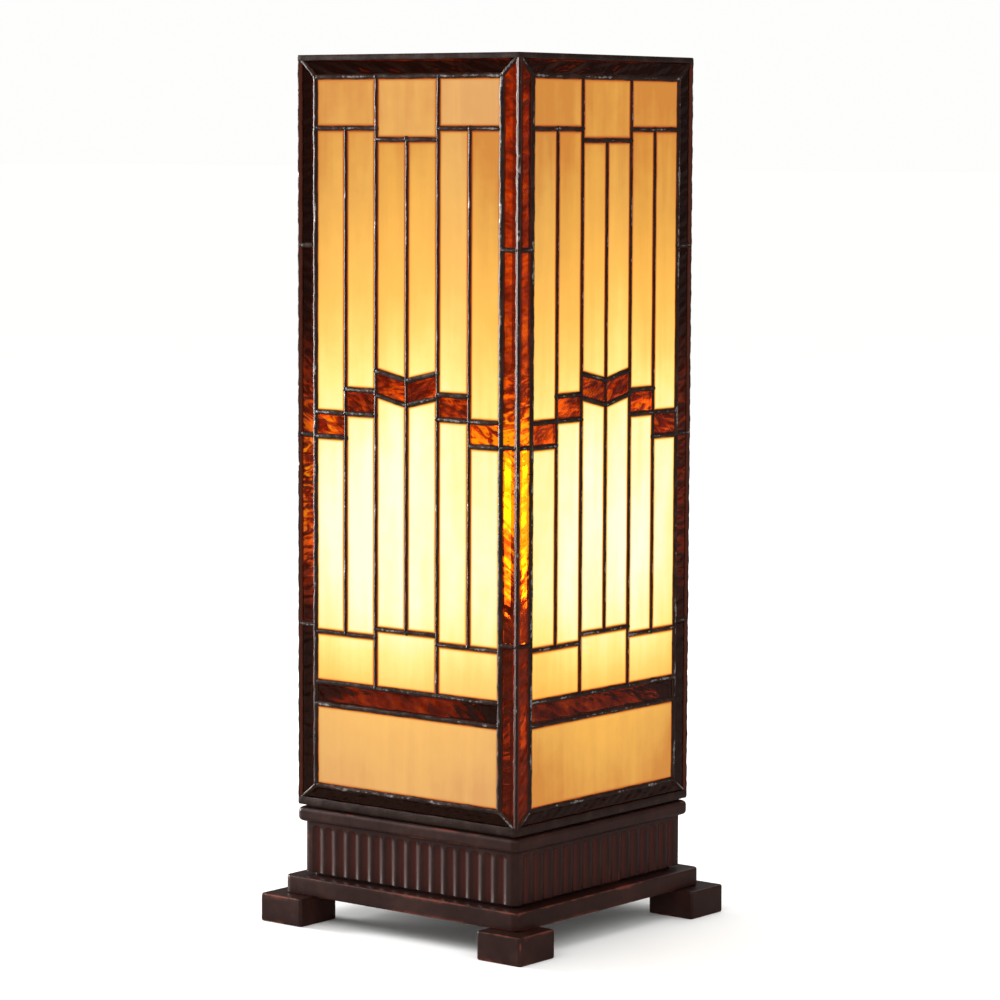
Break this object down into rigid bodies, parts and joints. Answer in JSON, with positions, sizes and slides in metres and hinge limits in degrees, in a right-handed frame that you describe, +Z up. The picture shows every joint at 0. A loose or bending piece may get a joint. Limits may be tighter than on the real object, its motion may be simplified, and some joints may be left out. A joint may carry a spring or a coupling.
{
  "type": "stained glass table lamp",
  "caption": "Tall square table lamp: a four-sided stained glass column that lifts off a fluted base, over a lampholder and bulb.",
  "frame": {"origin": "centre of the footprint, on the plane that the feet stand on", "axes": "+Z up, -Y the front side, +X the right side, +Y the side with the cord outlet"},
  "size_m": [0.17, 0.17, 0.4412],
  "materials": {
    "base_resin": "cast resin painted dark brown, satin, with reddish rubbed edges",
    "cover_board": "dark pressed board",
    "solder": "solder with a black patina, satin, silvery where it is rubbed",
    "cream_glass": "opalescent cream glass with streaks, glossy",
    "amber_glass": "rippled dark amber glass, glossy",
    "brass": "satin brass",
    "plated_steel": "zinc plated, satin",
    "holder_plastic": "moulded black thermoset plastic, semi-gloss",
    "insulator": "unglazed white porcelain",
    "bulb_glass": "opal glass, lit"
  },
  "bodies": {
    "base": {"foot_front_left": "base_resin", "foot_front_right": "base_resin", "foot_rear_left": "base_resin", "foot_rear_right": "base_resin", "plinth_plate": "base_resin", "base_cover": "cover_board", "fluted_frieze": "base_resin", "cap_ledge": "base_resin", "shade_seat": "base_resin", "threaded_tube": "plated_steel", "tube_washer": "plated_steel", "tube_nut_lower": "plated_steel", "tube_nut_upper": "brass", "lampholder_cap": "holder_plastic", "lampholder_shell": "holder_plastic", "lampholder_insulator": "insulator", "screw_shell": "brass", "centre_contact": "brass", "cord_gland": "holder_plastic", "gland_nut": "holder_plastic"},
    "bulb": {"bulb_envelope": "bulb_glass", "bulb_screw_cap": "plated_steel", "bulb_insulator": "insulator", "bulb_tip_contact": "plated_steel"},
    "shade": {"front_border_glass": "amber_glass", "front_upper_cream_glass": "cream_glass", "front_amber_tile_glass": "amber_glass", "front_lower_cream_glass": "cream_glass", "front_amber_band_glass": "amber_glass", "front_lower_pane_glass": "cream_glass", "front_came_lattice": "solder", "corner_seam_front_right": "solder", "right_border_glass": "amber_glass", "right_upper_cream_glass": "cream_glass", "right_amber_tile_glass": "amber_glass", "right_lower_cream_glass": "cream_glass", "right_amber_band_glass": "amber_glass", "right_lower_pane_glass": "cream_glass", "right_came_lattice": "solder", "corner_seam_right_rear": "solder", "rear_border_glass": "amber_glass", "rear_upper_cream_glass": "cream_glass", "rear_amber_tile_glass": "amber_glass", "rear_lower_cream_glass": "cream_glass", "rear_amber_band_glass": "amber_glass", "rear_lower_pane_glass": "cream_glass", "rear_came_lattice": "solder", "corner_seam_rear_left": "solder", "left_border_glass": "amber_glass", "left_upper_cream_glass": "cream_glass", "left_amber_tile_glass": "amber_glass", "left_lower_cream_glass": "cream_glass", "left_amber_band_glass": "amber_glass", "left_lower_pane_glass": "cream_glass", "left_came_lattice": "solder", "corner_seam_left_front": "solder", "shade_bottom_rim": "solder", "shade_top_rim": "solder"}
  },
  "joints": [
    {"name": "shade_lift", "type": "slide", "parent": "base", "child": "shade", "axis": [0, 0, 1], "range_m": [0, 0.22]},
    {"name": "bulb_unscrew", "type": "slide", "parent": "base", "child": "bulb", "axis": [0, 0, 1], "range_m": [0, 0.032]}
  ]
}
